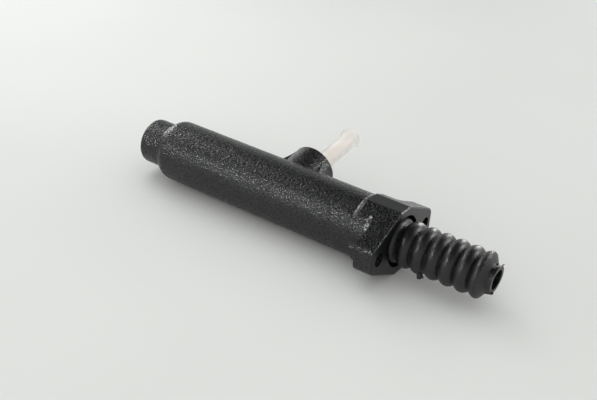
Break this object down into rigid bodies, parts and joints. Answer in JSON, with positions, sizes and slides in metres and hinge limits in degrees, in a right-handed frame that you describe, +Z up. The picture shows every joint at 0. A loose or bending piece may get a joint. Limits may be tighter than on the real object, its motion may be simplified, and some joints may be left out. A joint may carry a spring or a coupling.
{
  "type": "clutch_master_cylinder",
  "caption": "Clutch master cylinder with a black cast body, two-bolt flange, plastic inlet nipple and black rubber bellows boot",
  "frame": {"origin": "centre of the mounting face, on the bore axis", "axes": "+X out of the mounting face towards the boot, Y along the two ears with the inlet towards +Y, Z up"},
  "size_m": [0.2785, 0.1165, 0.046],
  "materials": {
    "black_paint": "satin black paint over rough sand-cast iron",
    "brass": "turned",
    "pale_plastic": "cloudy natural nylon",
    "black_rubber": "satin moulded rubber",
    "spring_steel": "drawn and oiled",
    "zinc_steel": "pressed and zinc plated",
    "piston_alloy": "turned"
  },
  "bodies": {
    "cylinder": {"housing": "black_paint", "outlet_seat": "brass", "inlet_nipple": "pale_plastic", "nipple_grommet": "black_rubber", "boot": "black_rubber", "circlip": "spring_steel", "stop_washer": "zinc_steel", "return_spring": "spring_steel"},
    "piston": {"piston": "piston_alloy", "rear_seal": "black_rubber", "cup_washer": "zinc_steel", "primary_cup": "black_rubber", "spring_seat": "zinc_steel"}
  },
  "joints": [
    {"name": "piston_stroke", "type": "slide", "parent": "cylinder", "child": "piston", "axis": [-1, 0, 0], "range_m": [0, 0.036], "stiffness_N_per_m": 2400, "springref_m": -0.02, "deforming": ["return_spring"]}
  ]
}
